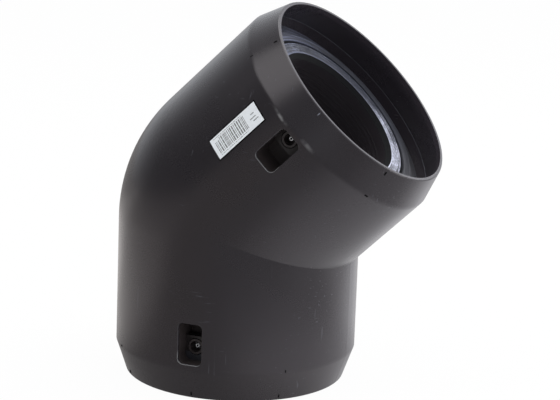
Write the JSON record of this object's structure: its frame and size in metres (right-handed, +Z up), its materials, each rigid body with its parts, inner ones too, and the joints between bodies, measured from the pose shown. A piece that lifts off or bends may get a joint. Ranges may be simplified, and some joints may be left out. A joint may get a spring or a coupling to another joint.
{
  "type": "pipe elbow",
  "caption": "Forty-five-degree elbow for pre-insulated plastic pipe, with fusion sockets, foam and terminal windows",
  "frame": {"origin": "centre of the lower mouth, in the plane of its rim", "axes": "+Z up the lower arm, +X towards the side the upper arm leans to, terminals on the -Y side"},
  "size_m": [0.381, 0.285, 0.4464],
  "materials": {
    "jacket_plastic": "satin black plastic with fine scuffs",
    "foam": "rigid cellular foam",
    "elbow_plastic": "satin black plastic with a scuffed socket face",
    "ring_plastic": "smooth dark grey plastic",
    "well_plastic": "satin black plastic",
    "pin_metal": "plated, bright",
    "heating_wire": "bare drawn wire",
    "label_film": "white film with a dark bar block"
  },
  "bodies": {
    "root": {"outer_jacket": "jacket_plastic", "insulation_foam": "foam", "inner_elbow": "elbow_plastic", "centring_ring_lower": "ring_plastic", "centring_ring_upper": "ring_plastic", "terminal_well_lower": "well_plastic", "terminal_well_upper": "well_plastic", "terminal_pin_lower": "pin_metal", "terminal_pin_upper": "pin_metal", "heating_coil_lower": "heating_wire", "heating_coil_upper": "heating_wire", "link_wire": "heating_wire", "pipe_label": "label_film"}
  },
  "joints": []
}
